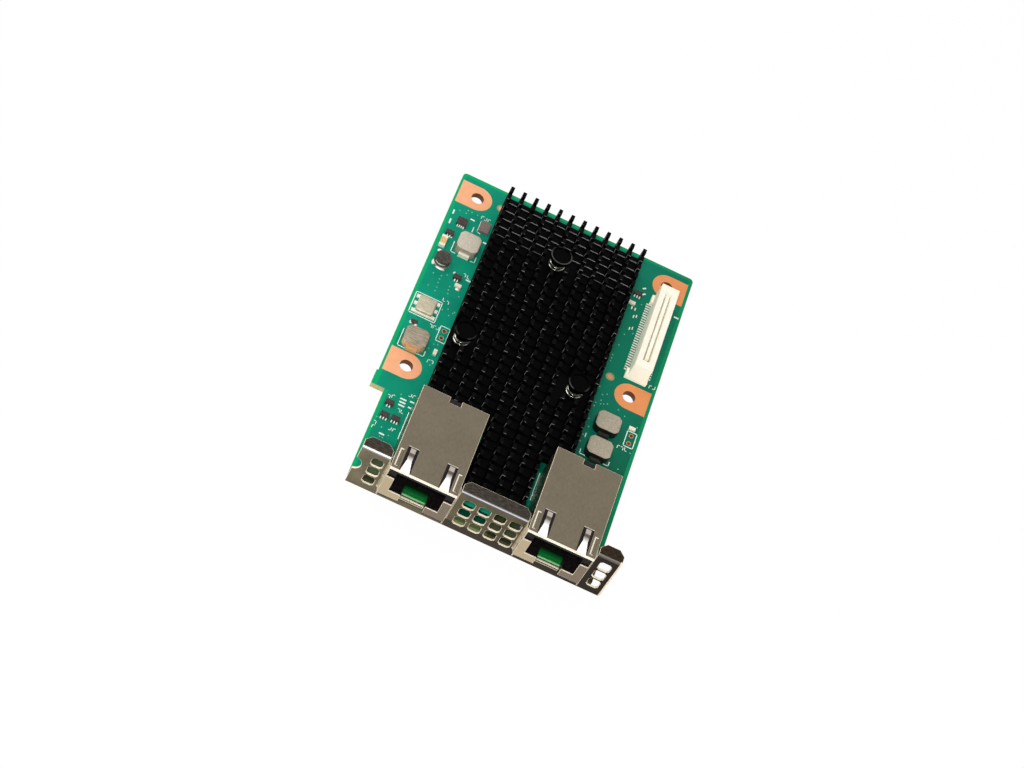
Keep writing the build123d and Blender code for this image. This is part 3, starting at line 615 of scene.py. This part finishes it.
def make_ivory():
    """Ivory nylon, its outer walls and front end given a painted glow for light through it, nearly
    as light as its top.
    """
    finish = Finish("connector_ivory", {"Specular IOR Level": 0.3, "Emission Strength": 1.0})
    x, y, _ = finish.axes()
    _, ahead, upright = finish.facing()
    low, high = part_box("connector_housing")
    wall_depth = CONNECTOR_WALL * MM
    outer = (x < low.x + wall_depth).either(x > high.x - wall_depth)
    patches = finish.patches(finish.noise(2.5))
    finish.set("Base Color", finish.mix(srgb(250, 243, 220), srgb(255, 252, 236), patches))
    fine = finish.noise(0.6)
    finish.set("Roughness", fine * 0.25 + 0.32)
    # Painted glow, for light through the nylon: on the front end and the outer walls.
    end = (ahead < -0.6) * (y < low.y + 1 * MM)
    wall = upright.within(-0.4, 0.4) * outer * (1 - end)
    glow = finish.mix(srgb(0, 0, 0), srgb(126, 126, 116), end)
    finish.set("Emission Color", finish.mix(glow, srgb(104, 100, 84), wall))
    finish.bump(fine, 0.006)
    return finish


def make_drum():
    """A wound drum: a dark top flange, a pale edge of wire at the waist and a greyer foot."""
    finish = Finish("drum_black", {"Specular IOR Level": 0.3})
    _, _, z = finish.axes()
    _, _, upright = finish.facing()
    side = upright.within(-0.5, 0.5)
    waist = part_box("drum_coil")[1].z - DRUM_FLANGE * MM
    grain = finish.noise(0.5)
    body = finish.mix(srgb(44, 40, 37), srgb(84, 78, 70), finish.patches(grain))
    body = finish.mix(body, srgb(176, 170, 158), side * (z < waist) * 0.9)
    wire = side * z.within(waist - 0.2 * MM, waist + 0.18 * MM)
    finish.set("Base Color", finish.mix(body, srgb(248, 246, 238), wire))
    finish.set("Roughness", grain * 0.25 + 0.25)
    finish.bump(grain, 0.02)
    return finish


def make_port_black():
    """Black nylon, with the board's green carried up the floor of each latch channel and painted
    shade further in.
    """
    finish = Finish("port_black", {"Specular IOR Level": 0.2})
    x, y, z = finish.axes()
    grain = finish.noise(0.5)
    black = finish.mix(srgb(14, 11, 12), srgb(36, 30, 31), finish.patches(grain))
    # The green darkens into the channel: painted shade.
    deep = finish.between(y, board_front + 0.9 * MM, board_front + 2.6 * MM)
    green = finish.mix(srgb(26, 124, 60), srgb(2, 32, 14), deep)
    channel_floor = latch_channels(x) * (z < board_top + CHANNEL_FLOOR * MM)
    black = finish.mix(black, green, channel_floor * (y < board_front + 3.1 * MM))
    finish.set("Base Color", black)
    finish.set("Roughness", grain * 0.25 + 0.32)
    finish.bump(grain, 0.01)
    return finish


def make_coil(name, top_dark, top_light, side, front, stretch=(1, 1, 1)):
    """Pressed powder: a pale top over walls in painted light and shade, the front apart from the
    other sides.
    """
    finish = Finish(name, {"Specular IOR Level": 0.2})
    _, ahead, upright = finish.facing()
    speckle = finish.noise(0.3, 3.0, stretch)
    patches = finish.between(speckle, 0.35, 0.65)
    top = finish.mix(srgb(*top_dark), srgb(*top_light), patches)
    # The walls take painted light and shade: the front and the other sides in their own tones.
    walls = finish.mix(srgb(*side), srgb(*front), ahead < -0.6)
    walls = finish.mix(walls, srgb(20, 20, 18), finish.between(speckle, 0.45, 0.75) * 0.5)
    finish.set("Base Color", finish.mix(walls, top, upright > 0.4))
    finish.set("Roughness", speckle * 0.2 + 0.5)
    finish.bump(speckle, 0.01)
    return finish


PLAIN_FINISHES = {
    "spring_steel": dict(dark=(120, 118, 112), light=(196, 192, 182), grain=0.9, roughness=0.2,
                         metallic=0.9),
    "contact_gold": dict(dark=(214, 168, 84), light=(240, 198, 116), grain=0.3, roughness=0.25,
                         metallic=1.0),
    "solder_tin": dict(dark=(226, 222, 208), light=(250, 248, 238), grain=0.4, roughness=0.35,
                       depth=0.02, metallic=0.2),
    "lamp_lens": dict(dark=(10, 11, 8), light=(34, 32, 26), grain=0.5, roughness=0.3, shine=0.1),
    "chip_black": dict(dark=(44, 36, 36), light=(84, 74, 70), grain=0.2, roughness=0.6, depth=0.01),
    "chip_grey": dict(dark=(104, 90, 86), light=(140, 126, 120), grain=0.25, roughness=0.6,
                      depth=0.01),
    "can_metal": dict(dark=(180, 170, 146), light=(208, 198, 172), grain=0.9, roughness=0.4,
                      depth=0.01, metallic=0.3),
    "carrier_ceramic": dict(dark=(250, 238, 212), light=(255, 250, 234), grain=0.4, roughness=0.5,
                            depth=0.01),
    "capacitor_tan": dict(dark=(216, 168, 100), light=(240, 202, 140), grain=0.3, roughness=0.45,
                          depth=0.01),
    "capacitor_pale": dict(dark=(236, 216, 176), light=(252, 242, 216), grain=0.3, roughness=0.45,
                           depth=0.01),
    "pad_grey": dict(dark=(128, 128, 132), light=(150, 150, 154), grain=0.4, roughness=0.8,
                     depth=0.02),
    "pale_terminal": dict(dark=(240, 232, 208), light=(254, 250, 232), grain=0.5, roughness=0.5,
                          depth=0.01),
    "dark_terminal": dict(dark=(28, 32, 27), light=(62, 62, 54), grain=0.3, roughness=0.5),
    "tan_terminal": dict(dark=(196, 150, 104), light=(222, 178, 130), grain=0.4, roughness=0.45),
    "white_print": dict(dark=(222, 244, 230), light=(244, 255, 248), grain=0.5, roughness=0.6,
                        depth=0.01),
    # Painted highlight for the broken and cut edges of the metal sheets
    "edge_highlight": dict(dark=(214, 198, 166), light=(244, 232, 206), grain=0.6, roughness=0.35,
                        metallic=0.3),
    "via_rim": dict(dark=(92, 176, 142), light=(150, 206, 174), grain=0.3, roughness=0.5),
    "jumper_hole": dict(dark=(92, 18, 14), light=(150, 36, 28), grain=0.3, roughness=0.6),
    "jumper_ring": dict(dark=(150, 124, 88), light=(204, 172, 128), grain=0.5, roughness=0.5),
    "pale_ring": dict(dark=(136, 138, 104), light=(170, 164, 128), grain=0.4, roughness=0.5),
}
COILS = {
    "coil_grey": dict(top_dark=(188, 178, 160), top_light=(212, 201, 184),
                      side=(132, 124, 108), front=(176, 166, 150)),
    "coil_side_grey": dict(top_dark=(154, 145, 127), top_light=(180, 169, 149),
                           side=(30, 36, 30), front=(20, 28, 22)),
    "coil_brown": dict(top_dark=(134, 123, 106), top_light=(182, 168, 148),
                       side=(120, 96, 70), front=(216, 176, 136), stretch=(0.15, 1, 1)),
}
finishes = {
    "board_green": make_solder_mask(),
    "bare_copper": make_bare_copper(),
    "black_anodised": make_black_anodised(),
    "black_nylon": make_black_nylon(),
    "shield_nickel": make_shield_nickel(),
    "plate_nickel": make_plate_nickel(),
    "port_black": make_port_black(),
    "connector_ivory": make_ivory(),
    "drum_black": make_drum(),
}
for name, look in PLAIN_FINISHES.items():
    finishes[name] = mottled(name, **look)
for name, look in COILS.items():
    finishes[name] = make_coil(name, **look)

# Every piece of the frame takes the finish of its slot, but for a few that differ from their like
special_finishes = {
    "small_capacitors": "capacitor_pale",
    "side_coils": "coil_side_grey",
    "rear_coil_terminals": "pale_terminal",
    "side_coils_terminals": "dark_terminal",
    "front_coil_terminals": "tan_terminal",
    "converter_chip": "chip_grey",
}
node_slots = {
    "board_green": ["circuit_board"],
    "bare_copper": ["mounting_pads"],
    "black_anodised": ["heatsink"],
    "black_nylon": ["push_pins"],
    "spring_steel": ["push_pin_springs"],
    "shield_nickel": ["left_jack_shield", "right_jack_shield"],
    "plate_nickel": ["faceplate"],
    "port_black": ["left_jack_housing", "right_jack_housing"],
    "contact_gold": ["left_jack_contacts", "right_jack_contacts"],
    "solder_tin": ["left_jack_tails", "right_jack_tails", "connector_leads",
                   "rear_coil_terminals", "front_coil_terminals", "side_coils_terminals",
                   "regulator_chip_leads", "guard_chips_leads", "small_transistors_leads",
                   "bulk_capacitor_ends", "small_capacitors_ends", "oscillator_pads"],
    "lamp_lens": ["left_jack_lamps", "right_jack_lamps"],
    "connector_ivory": ["connector_housing"],
    "coil_grey": ["rear_coil", "side_coils"],
    "coil_brown": ["front_coil"],
    "drum_black": ["drum_coil"],
    "chip_black": ["controller_chip", "regulator_chip", "guard_chips", "small_transistors",
                   "converter_chip"],
    "can_metal": ["oscillator_can"],
    "carrier_ceramic": ["oscillator_base"],
    "capacitor_tan": ["bulk_capacitor", "small_capacitors"],
    "pad_grey": ["thermal_pad"],
}
for slot_name, nodes in node_slots.items():
    for node in nodes:
        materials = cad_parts[node].data.materials
        materials.clear()
        materials.append(finishes[special_finishes.get(node, slot_name)].material)


def make_piece(name, bm, slot_name, finish_names=(), stands_for=(), crease=CREASE):
    """Turns a bmesh into a piece of the card, in its slot's finish unless others are given.
    Faces that meet at less than the crease, in degrees, are shaded as one."""
    mesh = bpy.data.meshes.new(name)
    bm.to_mesh(mesh)
    bm.free()
    for finish_name in finish_names or [slot_name]:
        mesh.materials.append(finishes[finish_name].material)
    mesh.shade_smooth()
    mesh.set_sharp_from_angle(angle=math.radians(crease))
    piece = bpy.data.objects.new(name, mesh)
    bpy.context.collection.objects.link(piece)
    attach(piece, "root")
    if stands_for:
        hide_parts(*stands_for)


def bevel(bm, edges, width, segments):
    """Bevels edges and leaves the new faces in the finish of their neighbours."""
    return bmesh.ops.bevel(bm, geom=edges, offset=width, offset_type="OFFSET", affect="EDGES",
                           segments=segments, profile=0.5, material=-1, clamp_overlap=True)


def break_edges(node, slot_name, width, segments=2, shines=None, upright=0.0):
    """Stands in for a piece of the frame, with its sharp edges broken as the real one's are.
    Upright edges can be rounded more. Broken edges whose middle passes the test get the painted
    edge highlight."""
    bm = bmesh.new()
    bm.from_mesh(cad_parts[node].data)
    bmesh.ops.remove_doubles(bm, verts=bm.verts, dist=MERGE_DISTANCE)
    flat = math.radians(FLAT_ANGLE)
    bmesh.ops.dissolve_limit(bm, angle_limit=flat, verts=bm.verts, edges=bm.edges)
    if upright:
        rises = [(edge, abs(edge.verts[0].co.z - edge.verts[1].co.z)) for edge in bm.edges]
        posts = [edge for edge, rise in rises if rise > 0.9 * edge.calc_length()]
        bevel(bm, posts, upright, 3)
    sharp = [edge for edge in bm.edges if len(edge.link_faces) == 2
             and edge.calc_face_angle_signed(0) > math.radians(SHARP_ANGLE)]
    broken = bevel(bm, sharp, width, segments)
    finish_names = [special_finishes.get(node, slot_name)]
    crease = CREASE
    if shines:
        finish_names.append("edge_highlight")
        crease = SHEET_CREASE
        for face in broken["faces"]:
            if shines(face.calc_center_median()):
                face.material_index = 1
    make_piece(f"{node}_dressed", bm, slot_name, finish_names, [node], crease)


def shield_shines(place):
    """Which of the shields' broken edges get the painted highlight: the outer bends, ribs and ears
    do;
    the cuts round the fingers, the ribs' front ends and the right of each rib don't."""
    from_middle = min(abs(place.x - middle) for middle in jack_middles) / MM
    from_front = (place.y - jack_front) / MM
    from_rib = min(((place.x - rib) / MM for rib in rib_lefts), key=abs)
    near_finger = FINGER_CUT[0] < from_middle < FINGER_CUT[1] and 0.4 < from_front < FINGER_CUT_END
    rib_front = -0.2 < from_rib < RIB_WIDTH + 0.2 and abs(from_front - RIB_START) < 0.3
    beside_rib = 0.4 < from_front < RIB_START + RIB_LENGTH
    right_of_rib = 0.4 < from_rib < RIB_WIDTH + 0.15 and beside_rib
    return not (near_finger or rib_front or right_of_rib)


for node in ("left_jack_shield", "right_jack_shield"):
    break_edges(node, "shield_nickel", SHEET_EDGE, shines=shield_shines)
break_edges("faceplate", "plate_nickel", SHEET_EDGE, shines=lambda place: True)
break_edges("connector_housing", "connector_ivory", MOULDED_EDGE)
break_edges("rear_coil", "coil_grey", MOULDED_EDGE, upright=COIL_ROUND)
break_edges("side_coils", "coil_grey", MOULDED_EDGE, upright=COIL_ROUND)
break_edges("front_coil", "coil_brown", MOULDED_EDGE)
break_edges("oscillator_can", "can_metal", MOULDED_EDGE)
break_edges("heatsink", "black_anodised", PIN_EDGE, segments=1)

# Springs wound from round wire, as long as the frame's
bm = bmesh.new()
spring_low, spring_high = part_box("push_pin_springs")
steps = SPRING_TURNS * SPRING_STEPS
rise = (spring_high.z - spring_low.z - 2 * SPRING_END) / steps
on_edge = Matrix.Rotation(math.radians(90), 4, "X")
for low, high in pin_boxes:
    axis = (low + high) / 2
    start = Vector((axis.x + SPRING_RADIUS, axis.y, spring_low.z + SPRING_END))
    ring = bmesh.ops.create_circle(bm, segments=8, radius=SPRING_WIRE,
                                   matrix=Matrix.Translation(start) @ on_edge)
    loop = list({edge for vert in ring["verts"] for edge in vert.link_edges})
    bmesh.ops.spin(bm, geom=loop, cent=(axis.x, axis.y, 0), axis=(0, 0, 1), dvec=(0, 0, rise),
                   angle=math.tau * SPRING_TURNS, steps=steps, use_merge=False)
bmesh.ops.holes_fill(bm, edges=[edge for edge in bm.edges if edge.is_boundary])
bmesh.ops.recalc_face_normals(bm, faces=bm.faces)
make_piece("push_pin_springs_wound", bm, "spring_steel", stands_for=["push_pin_springs"])


def add_bar(bm, start, end, width, height):
    """A flat bar on the board from start to end, half a width past both."""
    run = end - start
    turn = Matrix.Rotation(math.atan2(run.y, run.x), 4, "Z")
    size = Matrix.Diagonal((run.length + width * MM, width * MM, height * MM, 1))
    place = Matrix.Translation((start + end) / 2 + Vector((0, 0, height * MM / 2)))
    bmesh.ops.create_cube(bm, size=1, matrix=place @ turn @ size)


def make_discs(name, spots, slot_name, finish_names=(), radius=1.0, height=0.03, sides=16):
    """A piece of flat discs on the board, in millimetres."""
    bm = bmesh.new()
    for place in spots:
        middle = Matrix.Translation(spot(*place) + Vector((0, 0, height * MM / 2)))
        bmesh.ops.create_cone(bm, cap_ends=True, segments=sides, radius1=radius * MM,
                              radius2=radius * MM, depth=height * MM, matrix=middle)
    make_piece(name, bm, slot_name, finish_names)


# White print: outlines, dashes and pairs of plain strokes
bm = bmesh.new()
for line in PRINT_LINES:
    for start, end in zip(line, line[1:]):
        add_bar(bm, spot(*start), spot(*end), LINE_WIDTH, PRINT_HEIGHT)
for from_left, from_rear, along, down in PRINT_DASHES:
    middle = spot(from_left, from_rear)
    reach = Vector((along, down, 0)) * MM / 2
    add_bar(bm, middle - reach, middle + reach, DASH_WIDTH, PRINT_HEIGHT)
for index, (from_left, from_rear) in enumerate(PRINT_MARKS):
    for stroke in (UPRIGHT_STROKES[index % 2], LEVEL_STROKES[index % 3 % 2]):
        ends = [spot(from_left + x, from_rear - y) for x, y in stroke]
        add_bar(bm, *ends, STROKE_WIDTH, PRINT_HEIGHT)
make_piece("white_print_lines", bm, "carrier_ceramic", ["white_print"])

# Leaf springs between the shields' sides and the faceplate, bowed outwards, all in the painted edge
# highlight
bm = bmesh.new()
leaf_height = jack_top - board_top - (LEAF_UNDER + LEAF_OVER) * MM
for low, high in jack_boxes:
    for wall, hand in ((low.x, -1), (high.x, 1)):
        foot = Vector((wall, plate_low.y, board_top + LEAF_UNDER * MM))
        outline = [bm.verts.new(foot + Vector((hand * x, y, 0)) * MM) for x, y in LEAF_OUTLINE]
        leaf = bmesh.ops.extrude_face_region(bm, geom=[bm.faces.new(outline)])
        raised = [item for item in leaf["geom"] if isinstance(item, bmesh.types.BMVert)]
        bmesh.ops.translate(bm, verts=raised, vec=(0, 0, leaf_height))
bmesh.ops.recalc_face_normals(bm, faces=bm.faces)
make_piece("shield_side_leaves", bm, "shield_nickel", ["edge_highlight"])

# A small sensor beside the front coil
bm = bmesh.new()
sensor_size = Vector(SENSOR_SIZE) * MM
middle = Matrix.Translation(spot(*SENSOR_SPOT) + Vector((0, 0, sensor_size.z / 2)))
bmesh.ops.create_cube(bm, size=1, matrix=middle @ Matrix.Diagonal((*sensor_size, 1)))
bevel(bm, bm.edges[:], SENSOR_EDGE, 2)
make_piece("small_sensor", bm, "chip_black")

# Copper collars round the mounting holes
bm = bmesh.new()
for hole in HOLE_SPOTS:
    start = spot(*hole) + Vector((HOLE_RADIUS * MM, 0, 0))
    corners = [bm.verts.new(start + Vector(offset) * MM) for offset in COLLAR_SECTION]
    section = [bm.edges.new(pair) for pair in zip(corners, corners[1:] + corners[:1])]
    bmesh.ops.spin(bm, geom=section, cent=spot(*hole), axis=(0, 0, 1), angle=math.tau,
                   steps=COLLAR_STEPS, use_merge=True)
bmesh.ops.remove_doubles(bm, verts=bm.verts, dist=MERGE_DISTANCE)
bmesh.ops.recalc_face_normals(bm, faces=bm.faces)
make_piece("hole_collars", bm, "bare_copper")

# Plated holes, target marks, jumper pads and loose solder
make_discs("via_rims", VIAS, "board_green", ["via_rim"], radius=0.17, height=0.02, sides=8)
make_discs("target_rings", TARGETS, "board_green", ["pale_ring"], radius=1.1, height=0.015,
           sides=24)
make_discs("target_discs", TARGETS, "bare_copper", radius=0.62, height=0.035)
make_discs("jumper_rings", JUMPERS, "bare_copper", ["jumper_ring"], radius=0.6, height=0.03)
bm = bmesh.new()
reach = Vector((0, TIN_PAD_REACH * MM, 0))
for pad in TIN_PADS:
    add_bar(bm, spot(*pad) - reach, spot(*pad) + reach, TIN_PAD_WIDTH, TIN_PAD_HEIGHT)
for from_left, from_rear, half_x, half_y in SOLDER_BEADS:
    shape = Matrix.Diagonal((half_x * MM, half_y * MM, BEAD_HALF_HEIGHT * MM, 1))
    place = Matrix.Translation(spot(from_left, from_rear) + Vector((0, 0, BEAD_LIFT * MM)))
    bmesh.ops.create_uvsphere(bm, u_segments=12, v_segments=8, radius=1, matrix=place @ shape)
make_piece("solder_pads", bm, "solder_tin")
make_discs("jumper_holes", JUMPERS, "bare_copper", ["jumper_hole"], radius=0.42, height=0.045)

# Floor, world, lamps and camera
floor_finish = Finish("floor_white", {"Base Color": (1, 1, 1, 1), "Roughness": 0.9,
                                      "Specular IOR Level": 0.0})
lit_floor = Value(floor_finish, floor_finish.shader.outputs[0])
white_floor = floor_finish.node("ShaderNodeEmission", {}, {})
whiteness = floor_finish.looked_at() * FLOOR_WHITE
blend = floor_finish.node("ShaderNodeMixShader", {}, (whiteness, lit_floor, white_floor))
floor_finish.join(floor_finish.tree.nodes["Material Output"].inputs[0], blend)

bm = bmesh.new()
bmesh.ops.create_grid(bm, x_segments=1, y_segments=1, size=FLOOR_SIZE)
mesh = bpy.data.meshes.new("floor")
bm.to_mesh(mesh)
bm.free()
mesh.materials.append(floor_finish.material)
floor = bpy.data.objects.new("floor", mesh)
bpy.context.collection.objects.link(floor)

world = bpy.data.worlds.new("studio")
bpy.context.scene.world = world
world.use_nodes = True
sky = Nodes(world.node_tree)
background = world.node_tree.nodes["Background"]
background.inputs["Color"].default_value = (1, 1, 1, 1)
sky.join(background.inputs["Strength"], sky.looked_at() * (1 - SKY_LIGHT) + SKY_LIGHT)


def add_lamp(name, place, power, size):
    """A soft square lamp that looks at the middle of the card."""
    lamp = bpy.data.lights.new(name, "AREA")
    lamp.energy = power
    lamp.size = size
    holder = bpy.data.objects.new(name, lamp)
    holder.location = place
    holder.rotation_euler = (-Vector(place)).to_track_quat("-Z", "Y").to_euler()
    bpy.context.collection.objects.link(holder)


add_lamp("key_lamp", place=(-0.45, 0.25, 0.65), power=1.3, size=0.35)
add_lamp("front_lamp", place=(-0.1, -0.5, 0.64), power=3.4, size=0.12)

camera = bpy.data.objects.new("camera", bpy.data.cameras.new("camera"))
camera.data.lens = CAMERA_LENS
camera.data.sensor_fit = "HORIZONTAL"
camera.location = CAMERA_PLACE
look = (CAMERA_AIM - CAMERA_PLACE).to_track_quat("-Z", "Y")
camera.rotation_euler = (look @ Quaternion((0, 0, 1), math.radians(CAMERA_ROLL))).to_euler()
bpy.context.collection.objects.link(camera)
bpy.context.scene.camera = camera
bpy.context.scene.view_settings.view_transform = "Standard"
